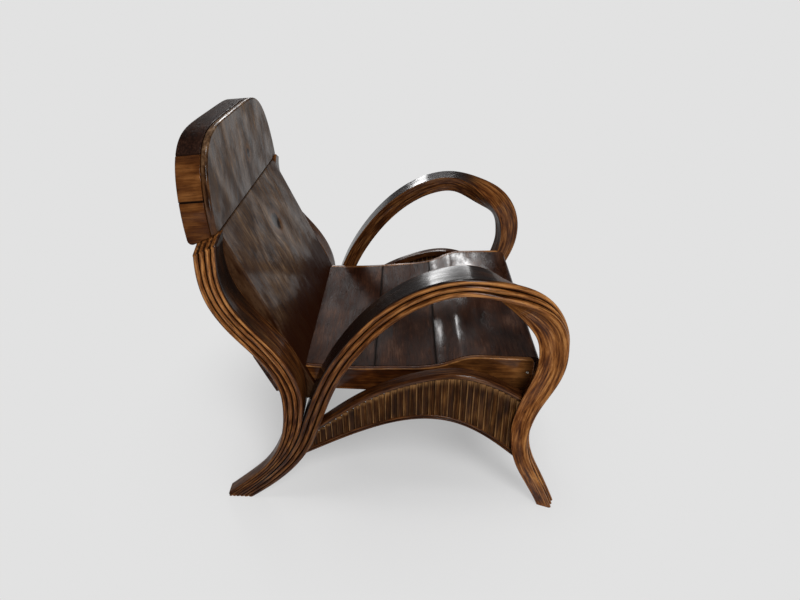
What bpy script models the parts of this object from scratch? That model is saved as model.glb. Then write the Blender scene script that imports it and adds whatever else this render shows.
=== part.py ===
"""Low armchair of bent laminated slats with a board seat, a leaning back and a headrest.

Metres, +Z up. The chair faces -Y and its right side, as the sitter has it, is -X.
The origin is on the floor under the middle of the chair.
"""

import math

import bmesh
import bpy
import numpy as np
from mathutils import Matrix, Vector
from mathutils.bvhtree import BVHTree

# Overall
GAP = 0.0003
COPE_CLEAR = 0.0012
HALF_WIDTH = 0.345
SPLAY = math.tan(math.radians(2.0))
FLOOR = 0.0

# Fineness of the shapes
CURVE_STEPS = 40
PROFILE_POINTS = 200
ACROSS = 15
LOOK_BACK = 0.030
SHORT = 0.004
SEAT_STEP = 0.015
REED_STEP = 0.002
SLAT_TURNS = (-90.0, -30.0, 30.0, 90.0)
NOSE_TURNS = (60.0, 30.0, 0.0)
NAIL_SIDES = 12
ROUND_SEGMENTS = 2
ROUND_FROM = math.radians(40.0)
SHARP_FROM = math.radians(50.0)

# Rear posts, by their front edge from the headrest down to the floor, as (y, z)
POST_EDGE = ((0.358, 0.700), (0.3675, 0.640), (0.363, 0.585), (0.343, 0.532), (0.268, 0.429),
             (0.226, 0.318), (0.237, 0.222), (0.291, 0.1158), (0.4063, 0.000))
POST_SLATS = 4
POST_STATIONS = 28
POST_WIDTH = 0.068
POST_WIDTH_TOP = 0.048
POST_WIDTH_FOOT = 0.032
POST_DEPTH = 0.047
POST_DEPTH_FOOT = 0.024
POST_NARROW_FROM = 0.550
POST_THIN_FROM = 0.300
POST_THIN_BY = 0.070
REAR_FOOT_END = 0.432

# Arm hoops, by their outer edge from where they leave the rear post to the front foot, as (y, z)
ARM_LEAVES_POST = 0.250
ARM_EDGE = ((0.179, 0.372), (0.132, 0.448), (0.010, 0.569), (-0.120, 0.614), (-0.213, 0.598),
            (-0.280, 0.565), (-0.333, 0.488), (-0.335, 0.385), (-0.295, 0.280), (-0.286, 0.185),
            (-0.333, 0.067), (-0.362, 0.000))
ARM_SLATS = 3
ARM_STATIONS = 40
ARM_WIDTH = 0.066
ARM_WIDTH_REAR_FOOT = 0.032
ARM_WIDTH_FRONT = 0.058
ARM_WIDTH_WAIST = 0.036
ARM_WIDTH_FRONT_FOOT = 0.030
ARM_DEPTH = 0.040
ARM_DEPTH_REAR_FOOT = 0.020
ARM_DEPTH_WAIST = 0.037
ARM_DEPTH_FRONT_FOOT = 0.034
ARM_TWIST = math.radians(-74.0)
TWIST_DONE = 0.80
LEG_TWIST = math.radians(-70.0)
LEG_WAIST_ABOVE = 0.150

# Side aprons: two arched rails with split reeds between them, inside the outer plane
RAIL_INSET = 0.020
RAIL_WIDTH = 0.026
TOP_RAIL_EDGE = ((0.196, 0.224), (0.080, 0.313), (-0.030, 0.361), (-0.122, 0.374),
                 (-0.200, 0.351), (-0.262, 0.314))
TOP_RAIL_DEPTH = 0.015
LOW_RAIL_EDGE = ((0.226, 0.150), (0.093, 0.222), (-0.012, 0.257), (-0.088, 0.258),
                 (-0.168, 0.226), (-0.256, 0.156))
LOW_RAIL_SLATS = 2
LOW_RAIL_DEPTH = 0.0125
RAIL_STATIONS = 15
REED_COUNT = 35
REED_INSET = 0.025
REED_BULGE = 0.004
REED_THICK = 0.010

# Back: a leaning lower board, and a headrest that stands almost upright
BACK_LEAN = math.radians(23.6)
JOINT_Y = 0.372
JOINT_Z = 0.675
BACK_BOARD_THICK = 0.042
BACK_BOARD_LENGTH = 0.440
HEAD_LEAN = math.radians(4.3)
HEAD_FORWARD = 0.0038
HEAD_HALF = 0.285
HEAD_HEIGHT = 0.182
HEAD_SIDE_POWER = 5.4
HEAD_TOP_POWER = 1.86
HEAD_FACE_THICK = 0.014
HEAD_CORE_THICK = 0.049
HEAD_SPLITS = (0.066, 0.145)
HEAD_POINTS = 9
BOARD_ROUND = 0.003

# Rails and battens behind and under the boards
REAR_RAIL_LOW = 0.397
REAR_RAIL_HEIGHT = 0.110
REAR_RAIL_DEPTH = 0.052
BATTEN_LOW = 0.125
BATTEN_HEIGHT = 0.065
BATTEN_DEPTH = 0.020
FRONT_RAIL_DEPTH = 0.028
FRONT_RAIL_HEIGHT = 0.050

# Seat: three boards across the chair with a facing board on each end
SEAT_UNDER = 0.283
SEAT_FRONT_Y = -0.284
SEAT_REAR_Z = 0.3455
SEAT_FRONT_Z = 0.385
SEAT_TOP = ((0.100, 0.3425), (0.020, 0.347), (-0.072, 0.357), (-0.100, 0.367), (-0.133, 0.381),
            (-0.185, 0.3855))
SEAT_NOSE = 0.013
SEAT_FRONT_ROUND = 0.012
SEAT_JOINTS = (0.070, -0.070)
SEAT_CLEAR = 0.027
SEAT_TAPER = 0.0535
FACING_THICK = 0.012
NAIL_RADIUS = 0.0035
NAIL_CROWN = 0.0025
NAIL_HEIGHT = 0.0016
NAIL_SPOTS = ((-0.270, 0.351), (0.190, 0.322))

SIDES = (("right", -1), ("left", 1))

for stale in list(bpy.data.objects):
    bpy.data.objects.remove(stale, do_unlink=True)

chair = bpy.data.collections.new("bent_slat_armchair")
bpy.context.scene.collection.children.link(chair)


def stain(name, colour, roughness, metallic=0.0):
    """A plain Principled material."""
    made = bpy.data.materials.new(name)
    made.use_nodes = True
    shader = made.node_tree.nodes["Principled BSDF"]
    shader.inputs["Base Color"].default_value = (*colour, 1.0)
    shader.inputs["Roughness"].default_value = roughness
    shader.inputs["Metallic"].default_value = metallic
    made.diffuse_color = (*colour, 1.0)
    return made


AMBER = stain("amber_slat", (0.16, 0.065, 0.022), 0.30)
REED = stain("brown_reed", (0.11, 0.050, 0.022), 0.40)
DARK = stain("dark_board", (0.035, 0.024, 0.020), 0.25)
EDGE = stain("brown_edge", (0.13, 0.055, 0.022), 0.32)
STEEL = stain("nail_steel", (0.45, 0.43, 0.40), 0.35, 1.0)


def spline(points, count):
    """A natural cubic curve through the points, cut into count equally spaced points."""
    knots = np.array(points, dtype=float)
    at = np.concatenate(([0.0], np.cumsum(np.linalg.norm(np.diff(knots, axis=0), axis=1))))
    step = np.diff(at)
    last = len(knots) - 1
    system = np.eye(last + 1)
    right = np.zeros_like(knots)
    for i in range(1, last):
        system[i, i - 1:i + 2] = step[i - 1], 2.0 * (step[i - 1] + step[i]), step[i]
        right[i] = 6.0 * ((knots[i + 1] - knots[i]) / step[i] - (knots[i] - knots[i - 1]) / step[i - 1])
    bend = np.linalg.solve(system, right)
    fine = np.linspace(0.0, at[-1], CURVE_STEPS * count)
    k = np.clip(np.searchsorted(at, fine, side="right") - 1, 0, last - 1)
    u = ((fine - at[k]) / step[k])[:, None]
    h2 = (step[k] ** 2)[:, None] / 6.0
    curve = (1 - u) * knots[k] + u * knots[k + 1]
    curve += h2 * (((1 - u) ** 3 - (1 - u)) * bend[k] + (u ** 3 - u) * bend[k + 1])
    run = lengths(curve)
    even = np.linspace(0.0, run[-1], count)
    return np.stack([np.interp(even, run, curve[:, 0]), np.interp(even, run, curve[:, 1])], axis=1)


def lengths(curve):
    """Distance along a polyline at each of its points."""
    return np.concatenate(([0.0], np.cumsum(np.linalg.norm(np.diff(curve, axis=0), axis=1))))


def headings(curve):
    """Unit directions along a polyline."""
    way = np.gradient(curve, axis=0)
    return way / np.linalg.norm(way, axis=1)[:, None]


def ease(t):
    """Smooth step from 0 to 1."""
    t = np.clip(t, 0.0, 1.0)
    return t * t * (3.0 - 2.0 * t)


def place(hand, inset, y, z):
    """A point of a side frame: inset is measured inward from the frame's outer plane."""
    return Vector((hand * (HALF_WIDTH - SPLAY * y - inset), y, z))


def finish(ob, material, rounding=0.0):
    """Link an object, give it its material, and shade or round its edges."""
    chair.objects.link(ob)
    ob.data.materials.append(material)
    if rounding:
        bevel = ob.modifiers.new("rounded_edges", "BEVEL")
        bevel.width = rounding
        bevel.segments = ROUND_SEGMENTS
        bevel.limit_method = "ANGLE"
        bevel.angle_limit = ROUND_FROM
    else:
        ob.data.shade_smooth()
        ob.data.set_sharp_from_angle(angle=SHARP_FROM)
    return ob


def loft(name, rings, material, rounding=0.0, twisted=False):
    """A closed body through rings of equal point count, with its two ends filled.

    In a twisted stack the two wide faces of each slat fold along the same diagonal, so that
    neighbouring slats lie parallel.
    """
    bm = bmesh.new()
    rows = [[bm.verts.new(p) for p in ring] for ring in rings]
    for a, b in zip(rows, rows[1:]):
        for i in range(len(a)):
            j = (i + 1) % len(a)
            if not twisted:
                bm.faces.new((a[i], a[j], b[j], b[i]))
            elif j:
                bm.faces.new((a[i], a[j], b[j]))
                bm.faces.new((a[i], b[j], b[i]))
            else:
                bm.faces.new((a[i], a[j], b[i]))
                bm.faces.new((a[j], b[j], b[i]))
    bm.faces.new(rows[0])
    bm.faces.new(rows[-1])
    bmesh.ops.recalc_face_normals(bm, faces=bm.faces[:])
    mesh = bpy.data.meshes.new(name)
    bm.to_mesh(mesh)
    bm.free()
    return finish(bpy.data.objects.new(name, mesh), material, rounding)


def slab(name, outline, thickness, material, frame):
    """A board: a flat outline, as x and height, thickened toward the rear."""
    mesh = bpy.data.meshes.new(name)
    mesh.from_pydata([Vector((x, 0.0, h)) for x, h in outline], [], [range(len(outline))])
    mesh.update()
    if mesh.polygons[0].normal.y > 0.0:
        mesh.flip_normals()
    ob = bpy.data.objects.new(name, mesh)
    ob.matrix_world = frame
    solid = ob.modifiers.new("thickness", "SOLIDIFY")
    solid.thickness = thickness
    solid.offset = -1.0
    return finish(ob, material, BOARD_ROUND)


def bar(name, size, frame, material):
    """A bar of rectangular section, centred on its frame."""
    bm = bmesh.new()
    bmesh.ops.create_cube(bm, size=1.0, matrix=Matrix.Diagonal((*size, 1.0)))
    mesh = bpy.data.meshes.new(name)
    bm.to_mesh(mesh)
    bm.free()
    ob = bpy.data.objects.new(name, mesh)
    ob.matrix_world = frame
    return finish(ob, material, BOARD_ROUND)


def slat_ring(hand, station, layer, layers):
    """Section of one slat of a stack: a flat strip with half-round edges."""
    inset, y, z, out, twist, width, depth = station
    thick = depth / layers
    radius = thick / 2.0 - GAP / 2.0
    middle = (2 * layer + 1 - layers) * thick / 2.0
    reach = width / 2.0 - radius
    ring = []
    for end in (-1, 1):
        for turn in SLAT_TURNS:
            a = end * (reach + radius * math.cos(math.radians(turn)))
            b = middle + end * radius * math.sin(math.radians(turn))
            across = a * math.cos(twist) - b * math.sin(twist)
            outward = a * math.sin(twist) + b * math.cos(twist)
            ring.append(place(hand, inset + across, y + outward * out[0], z + outward * out[1]))
    return ring


def to_floor(ring, way):
    """How far each point runs along way to the floor, or to the upright end of a rear foot."""
    reach = [(FLOOR - p.z) / way.z for p in ring]
    if way.y > 0.0:
        reach = [min(r, (REAR_FOOT_END - p.y) / way.y) for r, p in zip(reach, ring)]
    return reach


def to_joint(ring, way):
    """How far each point runs along way to the underside of the headrest."""
    up = back_frame.to_3x3() @ Vector((0.0, 0.0, 1.0))
    return [((back_frame.translation - p).dot(up) - GAP) / way.dot(up) for p in ring]


def to_surface(tree):
    """A cut that follows the surfaces in a search tree and stays a gap clear of them all over."""
    def hit(p, way):
        return tree.ray_cast(p - way * LOOK_BACK, way)[3]

    def reach(ring, way):
        own = [hit(p, way) for p in ring]
        nearest = min(h for h in own if h is not None)
        own = [nearest if h is None else h for h in own]
        proud = 0.0
        half = len(ring) // 2
        for rise in np.linspace(0.0, half - 1.0, ACROSS):
            i = min(int(rise), half - 2)
            j = len(ring) - 1 - i
            v = rise - i
            left = ring[i].lerp(ring[i + 1], v)
            right = ring[j].lerp(ring[j - 1], v)
            at_left = own[i] + (own[i + 1] - own[i]) * v
            at_right = own[j] + (own[j - 1] - own[j]) * v
            for t in np.linspace(0.0, 1.0, ACROSS):
                met = hit(left.lerp(right, t), way)
                if met is not None:
                    proud = max(proud, at_left + (at_right - at_left) * t - met)
        return [h - proud - LOOK_BACK - COPE_CLEAR for h in own]
    return reach


def trimmed(stack, ways, reach):
    """Slats cut back until their last rings all lie short of the cut, then carried on to it."""
    last = -1
    while min(min(reach(rings[last], ways[last])) for rings in stack) < SHORT:
        last -= 1
    cut = []
    for rings in stack:
        end = [p + ways[last] * r for p, r in zip(rings[last], reach(rings[last], ways[last]))]
        cut.append(rings[:len(rings) + last + 1] + [end])
    return cut


def turned(stack):
    """The same slats with their rings in the other order."""
    return [rings[::-1] for rings in stack]


def heading_in_space(hand, way):
    """A direction in a side frame's plane, as a unit direction in space."""
    return Vector((-hand * SPLAY * way[0], way[0], way[1])).normalized()


def slats(hand, stations, layers):
    """Rings of a stack of bent slats along the stations."""
    return [[slat_ring(hand, s, layer, layers) for s in stations] for layer in range(layers)]


def ways_of(hand, stations):
    """Directions in space along the stations."""
    line = headings(np.array([(s[1], s[2]) for s in stations]))
    return [heading_in_space(hand, way) for way in line]


def lofted(names, stack, material):
    """One body for each slat of a stack."""
    return [loft(name, rings, material, twisted=True) for name, rings in zip(names, stack)]


def rail(names, hand, stations, stop):
    """An arched rail of one or more slats, coped at both ends."""
    ways = ways_of(hand, stations)
    stack = trimmed(slats(hand, stations, len(names)), ways, stop)
    back = [-way for way in ways[::-1]]
    return lofted(names, turned(trimmed(turned(stack), back, stop)), EDGE)


def tree_of(objects):
    """One search tree over the faces of several meshes."""
    points = []
    faces = []
    for ob in objects:
        base = len(points)
        points += [v.co.copy() for v in ob.data.vertices]
        faces += [[base + i for i in p.vertices] for p in ob.data.polygons]
    return BVHTree.FromPolygons(points, faces)


def board_frame(lean):
    """Axes of a leaning board at the joint line: x across, y to the rear, z up the board."""
    return Matrix.Translation((0.0, JOINT_Y, JOINT_Z)) @ Matrix.Rotation(-lean, 4, "X")


back_frame = board_frame(BACK_LEAN)
head_slide = Vector((0.0, -HEAD_FORWARD, HEAD_FORWARD * math.tan(BACK_LEAN)))
head_frame = Matrix.Translation(head_slide) @ board_frame(HEAD_LEAN)


def narrowing(z):
    """How much narrower a rear post is at a height, all of it taken off the outer face."""
    return (POST_WIDTH - POST_WIDTH_TOP) * ease((z - POST_NARROW_FROM) / (JOINT_Z - POST_NARROW_FROM))


def between_posts(up, rear):
    """Half the clear width between the rear posts at a place on the leaning back."""
    spot = back_frame @ Vector((0.0, rear, up))
    return HALF_WIDTH - SPLAY * spot.y - POST_WIDTH - GAP


# Rear posts
post_line = spline(POST_EDGE, POST_STATIONS)
post_ways = headings(post_line)
post_rear = np.stack([-post_ways[:, 1], post_ways[:, 0]], axis=1)
thinning = ease((POST_THIN_FROM - post_line[:, 1]) / (POST_THIN_FROM - POST_THIN_BY))
post_depth = POST_DEPTH + (POST_DEPTH_FOOT - POST_DEPTH) * thinning
post_lean = narrowing(post_line[:, 1])
post_width = POST_WIDTH - post_lean + (POST_WIDTH_FOOT - POST_WIDTH) * thinning
post_middle = post_line + post_rear * (post_depth / 2.0)[:, None]
post_inset = post_lean + post_width / 2.0
post_stations = [(i, m[0], m[1], n, 0.0, w, d)
                 for i, m, n, w, d in zip(post_inset, post_middle, post_rear, post_width, post_depth)]

# Arm hoops: the tail lies along the post's front edge, then the hoop swings forward and twists
tail = post_line[::-1] - post_rear[::-1] * GAP
tail = tail[tail[:, 1] < ARM_LEAVES_POST]
swing = spline((tail[-3], tail[-1], *ARM_EDGE), ARM_STATIONS)
passed = np.linalg.norm(tail[-1] - tail[-3]) + lengths(swing)[1] / 2.0
arm_line = np.concatenate((tail, swing[lengths(swing) > passed]))
arm_ways = headings(arm_line)
arm_out = np.stack([arm_ways[:, 1], -arm_ways[:, 0]], axis=1)
run = lengths(arm_line)
crest = run[int(np.argmax(arm_line[:, 1]))]
front = run[int(np.argmin(np.where(arm_line[:, 1] > SEAT_UNDER, arm_line[:, 0], 1.0)))]
upper_leg = (run > front) & (arm_line[:, 1] > LEG_WAIST_ABOVE)
waist = run[int(np.argmax(np.where(upper_leg, arm_line[:, 0], -1.0)))]
marks = (0.0, run[len(tail) - 1], crest, front, waist, run[-1])
arm_width = np.interp(run, marks, (ARM_WIDTH_REAR_FOOT, ARM_WIDTH, ARM_WIDTH, ARM_WIDTH_FRONT,
                                   ARM_WIDTH_WAIST, ARM_WIDTH_FRONT_FOOT))
arm_depth = np.interp(run, marks, (ARM_DEPTH_REAR_FOOT, ARM_DEPTH, ARM_DEPTH, ARM_DEPTH,
                                   ARM_DEPTH_WAIST, ARM_DEPTH_FRONT_FOOT))
arm_twist = ARM_TWIST * ease((run - crest) / (TWIST_DONE * (front - crest)))
arm_twist += (LEG_TWIST - ARM_TWIST) * ease((run - front) / (waist - front))
arm_round = arm_depth / ARM_SLATS / 2.0
lying = np.abs(np.cos(arm_twist))
standing = np.abs(np.sin(arm_twist))
half_high = standing * (arm_width / 2.0 - arm_round) + lying * (arm_depth / 2.0 - arm_round) + arm_round
half_wide = lying * (arm_width / 2.0 - arm_round) + standing * (arm_depth / 2.0 - arm_round) + arm_round
arm_middle = arm_line - arm_out * half_high[:, None]
arm_stations = [(i, m[0], m[1], n, t, w, d) for i, m, n, t, w, d
                in zip(half_wide, arm_middle, arm_out, arm_twist, arm_width, arm_depth)]


def rail_stations(edge, depth):
    """Stations of an arched rail given by its upper edge."""
    line = spline(edge, RAIL_STATIONS)
    ways = headings(line)
    up = np.stack([ways[:, 1], -ways[:, 0]], axis=1)
    middle = line - up * depth / 2.0
    inset = RAIL_INSET + RAIL_WIDTH / 2.0
    return [(inset, m[0], m[1], n, 0.0, RAIL_WIDTH, depth) for m, n in zip(middle, up)]


def rail_face(edge, offset):
    """A line parallel to a rail's upper edge, from the rear to the front."""
    line = spline(edge, RAIL_STATIONS)
    ways = headings(line)
    return line + np.stack([ways[:, 1], -ways[:, 0]], axis=1) * offset


def height_at(line, y):
    """Height of a rail's line at a depth."""
    return float(np.interp(-y, -line[:, 0], line[:, 1]))


def reed_end(hand, tree, top, low, way):
    """How far the reed panel runs to the front or the rear before it meets the leg or the arm."""
    y = 0.0
    while True:
        ahead = y + way * REED_STEP
        heights = np.linspace(height_at(low, ahead), height_at(top, ahead), ACROSS)
        insets = np.linspace(REED_INSET - REED_BULGE, REED_INSET - REED_BULGE + REED_THICK, ACROSS)
        spots = [place(hand, inset, ahead, h) for h in heights for inset in insets]
        met = [tree.ray_cast(p, heading_in_space(hand, (way, 0.0)))[3] for p in spots]
        blocked = min(m for m in met if m is not None) < REED_STEP
        if blocked or not max(top[-1, 0], low[-1, 0]) < ahead < min(top[0, 0], low[0, 0]):
            return y
        y = ahead


def reed_rings(hand, tree):
    """Sections of the reed panel along the arch: a row of ribs between the two rails."""
    top = rail_face(TOP_RAIL_EDGE, -TOP_RAIL_DEPTH - GAP)
    low = rail_face(LOW_RAIL_EDGE, GAP)
    fore = reed_end(hand, tree, top, low, -1.0)
    rear = reed_end(hand, tree, top, low, 1.0)
    rings = []
    for i, y in enumerate(np.linspace(fore, rear, 3 * REED_COUNT + 1)):
        outer = REED_INSET - (0.0 if i % 3 == 0 else REED_BULGE)
        inner = REED_INSET - REED_BULGE + REED_THICK
        corners = ((outer, height_at(low, y)), (outer, height_at(top, y)),
                   (inner, height_at(top, y)), (inner, height_at(low, y)))
        rings.append([place(hand, inset, y, z) for inset, z in corners])
    return rings


def seat_half(y):
    """Half width of the seat at a depth: it stands clear of the apron rails."""
    return HALF_WIDTH - RAIL_INSET - RAIL_WIDTH - SEAT_CLEAR - SEAT_TAPER * y


def seat_rear(z):
    """Depth of the seat's rear end at a height, a gap in front of the leaning back."""
    return JOINT_Y + (z - JOINT_Z) * math.tan(BACK_LEAN) - GAP / math.cos(BACK_LEAN)


def seat_profile(rear, fore, nose=0.0):
    """Side outline of the seat between two depths; None stands for the seat's own end."""
    knots = ((seat_rear(SEAT_REAR_Z), SEAT_REAR_Z), *SEAT_TOP, (SEAT_FRONT_Y, SEAT_FRONT_Z))
    shape = spline(knots, PROFILE_POINTS)
    behind = shape[0, 0] if rear is None else rear
    ahead = SEAT_FRONT_Y + SEAT_FRONT_ROUND - nose if fore is None else fore
    depths = np.linspace(behind, ahead, 2 + int((behind - ahead) / SEAT_STEP))
    outline = [(y, float(np.interp(-y, -shape[:, 0], shape[:, 1]))) for y in depths]
    crown = outline[-1][1] - SEAT_FRONT_ROUND
    if fore is None:
        for turn in NOSE_TURNS:
            a = math.radians(turn)
            outline.append((ahead - SEAT_FRONT_ROUND * math.cos(a), crown + SEAT_FRONT_ROUND * math.sin(a)))
    outline.append((outline[-1][0], SEAT_UNDER))
    outline.append((seat_rear(SEAT_UNDER) if rear is None else rear, SEAT_UNDER))
    return outline


def head_half(h):
    """Half width of the headrest's arched outline at a height."""
    return HEAD_HALF * (1.0 - (h / HEAD_HEIGHT) ** HEAD_TOP_POWER) ** (1.0 / HEAD_SIDE_POWER)


def head_outline(low, high):
    """Outline of the headrest between two heights, closer spaced where it turns over."""
    first = math.asin(low / HEAD_HEIGHT)
    last = math.asin(high / HEAD_HEIGHT)
    heights = HEAD_HEIGHT * np.sin(np.linspace(first, last, HEAD_POINTS))
    half = [(head_half(min(h, HEAD_HEIGHT)), h) for h in heights]
    other = [(-x, h) for x, h in half[::-1] if x > 0.0]
    return half + other


def head_part(name, low, high, front, thick, material):
    """A headrest piece whose lowest edge follows the joint when it starts at the joint."""
    slope = math.tan(BACK_LEAN - HEAD_LEAN)
    rings = []
    for rear in (front, front + thick):
        sunk = [(x, h - rear * slope if h == 0.0 else h) for x, h in head_outline(low, high)]
        rings.append([head_frame @ Vector((x, rear, h)) for x, h in sunk])
    return loft(name, rings, material, BOARD_ROUND)


for side, hand in SIDES:
    post_stack = slats(hand, post_stations, POST_SLATS)
    post_run = ways_of(hand, post_stations)
    arm_stack = slats(hand, arm_stations, ARM_SLATS)
    feet = trimmed(post_stack + turned(arm_stack), post_run, to_floor)
    post_stack = turned(trimmed(turned(feet[:POST_SLATS]), [-way for way in post_run[::-1]], to_joint))
    arm_stack = trimmed(turned(feet[POST_SLATS:]), ways_of(hand, arm_stations), to_floor)
    lofted([f"post_slat_{i + 1}_{side}" for i in range(POST_SLATS)], post_stack, AMBER)
    arms = lofted([f"arm_slat_{i + 1}_{side}" for i in range(ARM_SLATS)], arm_stack, AMBER)
    arm_tree = tree_of(arms)
    stop = to_surface(arm_tree)
    rail([f"apron_top_rail_{side}"], hand, rail_stations(TOP_RAIL_EDGE, TOP_RAIL_DEPTH), stop)
    rail([f"apron_low_rail_{i + 1}_{side}" for i in range(LOW_RAIL_SLATS)], hand,
         rail_stations(LOW_RAIL_EDGE, LOW_RAIL_DEPTH), stop)
    loft(f"apron_reeds_{side}", reed_rings(hand, arm_tree), REED)

    profile = seat_profile(None, None)
    outer = [Vector((hand * seat_half(y), y, z)) for y, z in profile]
    inner = [Vector((hand * (seat_half(y) - FACING_THICK), y, z)) for y, z in profile]
    loft(f"seat_facing_{side}", (inner, outer), EDGE, BOARD_ROUND)
    for i, (y, z) in enumerate(NAIL_SPOTS):
        bm = bmesh.new()
        bmesh.ops.create_cone(bm, cap_ends=True, segments=NAIL_SIDES, radius1=NAIL_RADIUS,
                              radius2=NAIL_CROWN, depth=NAIL_HEIGHT)
        mesh = bpy.data.meshes.new(f"seat_nail_{i + 1}_{side}")
        bm.to_mesh(mesh)
        bm.free()
        nail = bpy.data.objects.new(mesh.name, mesh)
        facing_way = Vector((1.0, hand * SEAT_TAPER, 0.0)).normalized() * hand
        spot = Vector((hand * seat_half(y), y, z)) + facing_way * (NAIL_HEIGHT / 2.0 + GAP)
        turn = facing_way.to_track_quat("Z", "Y").to_matrix().to_4x4()
        nail.matrix_world = Matrix.Translation(spot) @ turn
        finish(nail, STEEL)

# Seat boards: the front one runs on past the facings as a nose
seat_names = ("seat_board_rear", "seat_board_middle", "seat_board_front")
rears = (None, *[y - GAP / 2.0 for y in SEAT_JOINTS])
fores = (*[y + GAP / 2.0 for y in SEAT_JOINTS], None)
for name, rear, fore in zip(seat_names, rears, fores):
    profile = seat_profile(rear, fore, SEAT_NOSE)
    inside = [(seat_half(y) - FACING_THICK - GAP, y, z) for y, z in profile]
    loft(name, [[Vector((hand * x, y, z)) for x, y, z in inside] for _, hand in SIDES], DARK, BOARD_ROUND)

# Front rail between the front legs, under the seat
legs = tree_of([ob for ob in chair.objects if ob.name.startswith("arm_slat")])
rail_z = SEAT_UNDER - GAP - FRONT_RAIL_HEIGHT / 2.0
on_leg = run > front
rail_y = float(np.interp(-rail_z, -arm_middle[on_leg, 1], arm_middle[on_leg, 0]))
rings = []
for _, hand in SIDES:
    corners = [Vector((0.0, rail_y + a * FRONT_RAIL_DEPTH / 2.0, rail_z + b * FRONT_RAIL_HEIGHT / 2.0))
               for a, b in ((-1, -1), (1, -1), (1, 1), (-1, 1))]
    way = Vector((hand, 0.0, 0.0))
    rings.append([p + way * r for p, r in zip(corners, to_surface(legs)(corners, way))])
loft("front_rail", rings, EDGE, BOARD_ROUND)

# Lower back board, its rear rail and its batten
low_half = between_posts(-BACK_BOARD_LENGTH, BACK_BOARD_THICK)
top_half = between_posts(0.0, BACK_BOARD_THICK)
low_edge = ((-low_half, -BACK_BOARD_LENGTH), (low_half, -BACK_BOARD_LENGTH))
outline = (*low_edge, (top_half, -GAP), (-top_half, -GAP))
slab("back_board", outline, BACK_BOARD_THICK, DARK, back_frame)
for name, low, high, deep in (("rear_rail", REAR_RAIL_LOW, REAR_RAIL_HEIGHT, REAR_RAIL_DEPTH),
                              ("back_batten", BATTEN_LOW, BATTEN_HEIGHT, BATTEN_DEPTH)):
    behind = BACK_BOARD_THICK + GAP
    half = min(between_posts(high - low, behind + deep), between_posts(-low, behind + deep))
    middle = Matrix.Translation((0.0, behind + deep / 2.0, high / 2.0 - low))
    bar(name, (2.0 * half, deep, high), back_frame @ middle, EDGE)

# Headrest: a face board with three stacked core boards behind it
head_part("headrest_face", 0.0, HEAD_HEIGHT, 0.0, HEAD_FACE_THICK, DARK)
bounds = (0.0, *HEAD_SPLITS, HEAD_HEIGHT)
for name, low, high, tone in zip(("headrest_core_low", "headrest_core_middle", "headrest_core_top"),
                                 bounds, bounds[1:], (EDGE, EDGE, DARK)):
    top_gap = 0.0 if high == HEAD_HEIGHT else GAP
    head_part(name, low, high - top_gap, HEAD_FACE_THICK + GAP, HEAD_CORE_THICK, tone)

# Stand the chair over the origin
bpy.context.view_layer.update()
graph = bpy.context.evaluated_depsgraph_get()
solids = [ob.evaluated_get(graph) for ob in chair.objects]
reach_y = [(ob.matrix_world @ Vector(corner)).y for ob in solids for corner in ob.bound_box]
stand = bpy.data.objects.new("chair_stand", None)
for ob in list(chair.objects):
    ob.parent = stand
chair.objects.link(stand)
stand.location.y = -(min(reach_y) + max(reach_y)) / 2.0
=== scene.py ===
# %% [markdown]
# # A bent-slat lounge chair, dressed for its portrait
# The solid model of the chair is already made. This lesson loads it as a fixed frame and then
# builds the fine surfaces around it: bent slats with rounded edges, split reeds, lacquered boards.
# Every piece keeps the place of the solid it stands for, so nothing has to be fitted by eye.

# %% Load the frame
import math

import bmesh
import bpy
import numpy as np
from mathutils import Matrix, Vector, noise


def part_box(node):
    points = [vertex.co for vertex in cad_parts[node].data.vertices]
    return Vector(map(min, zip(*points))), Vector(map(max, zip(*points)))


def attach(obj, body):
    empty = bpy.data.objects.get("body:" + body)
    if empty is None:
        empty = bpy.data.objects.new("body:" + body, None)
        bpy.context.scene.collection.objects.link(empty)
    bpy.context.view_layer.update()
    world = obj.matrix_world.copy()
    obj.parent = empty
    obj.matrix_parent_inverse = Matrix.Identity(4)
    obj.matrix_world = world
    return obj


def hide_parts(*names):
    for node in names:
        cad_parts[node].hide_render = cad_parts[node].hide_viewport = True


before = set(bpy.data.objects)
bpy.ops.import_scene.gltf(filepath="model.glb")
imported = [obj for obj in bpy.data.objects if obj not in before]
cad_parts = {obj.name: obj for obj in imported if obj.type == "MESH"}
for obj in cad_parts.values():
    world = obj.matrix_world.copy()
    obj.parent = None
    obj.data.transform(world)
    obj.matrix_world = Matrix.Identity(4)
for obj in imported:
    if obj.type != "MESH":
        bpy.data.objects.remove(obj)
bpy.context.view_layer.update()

# %% [markdown]
# ## The camera
# The chair is seen from its right side, from above and fairly close, so that the near arm is large
# and the far arm small. The lens was worked out from the feet, the arms and the edges of the seat:
# it is short, which is what makes the rear foot and the front foot spread apart in the picture.

# %% Camera
PICTURE_WIDTH = 800.0
FOCAL_PIXELS = 575.0
PITCH = math.radians(29.65)
YAW = math.radians(0.66)
MIDDLE_Y = -0.04089
EYE = Vector((-1.3183, MIDDLE_Y, 1.1213))

lens = bpy.data.cameras.new("portrait_lens")
lens.sensor_width = 36.0
lens.lens = FOCAL_PIXELS * lens.sensor_width / PICTURE_WIDTH
camera = bpy.data.objects.new("portrait_camera", lens)
bpy.context.scene.collection.objects.link(camera)
looking = Vector((math.cos(PITCH) * math.cos(YAW), math.cos(PITCH) * math.sin(YAW), -math.sin(PITCH)))
camera.location = EYE
camera.rotation_mode = "QUATERNION"
camera.rotation_quaternion = looking.to_track_quat("-Z", "Y")
bpy.context.scene.camera = camera
print("lens in mm:", round(lens.lens, 2))

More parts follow.
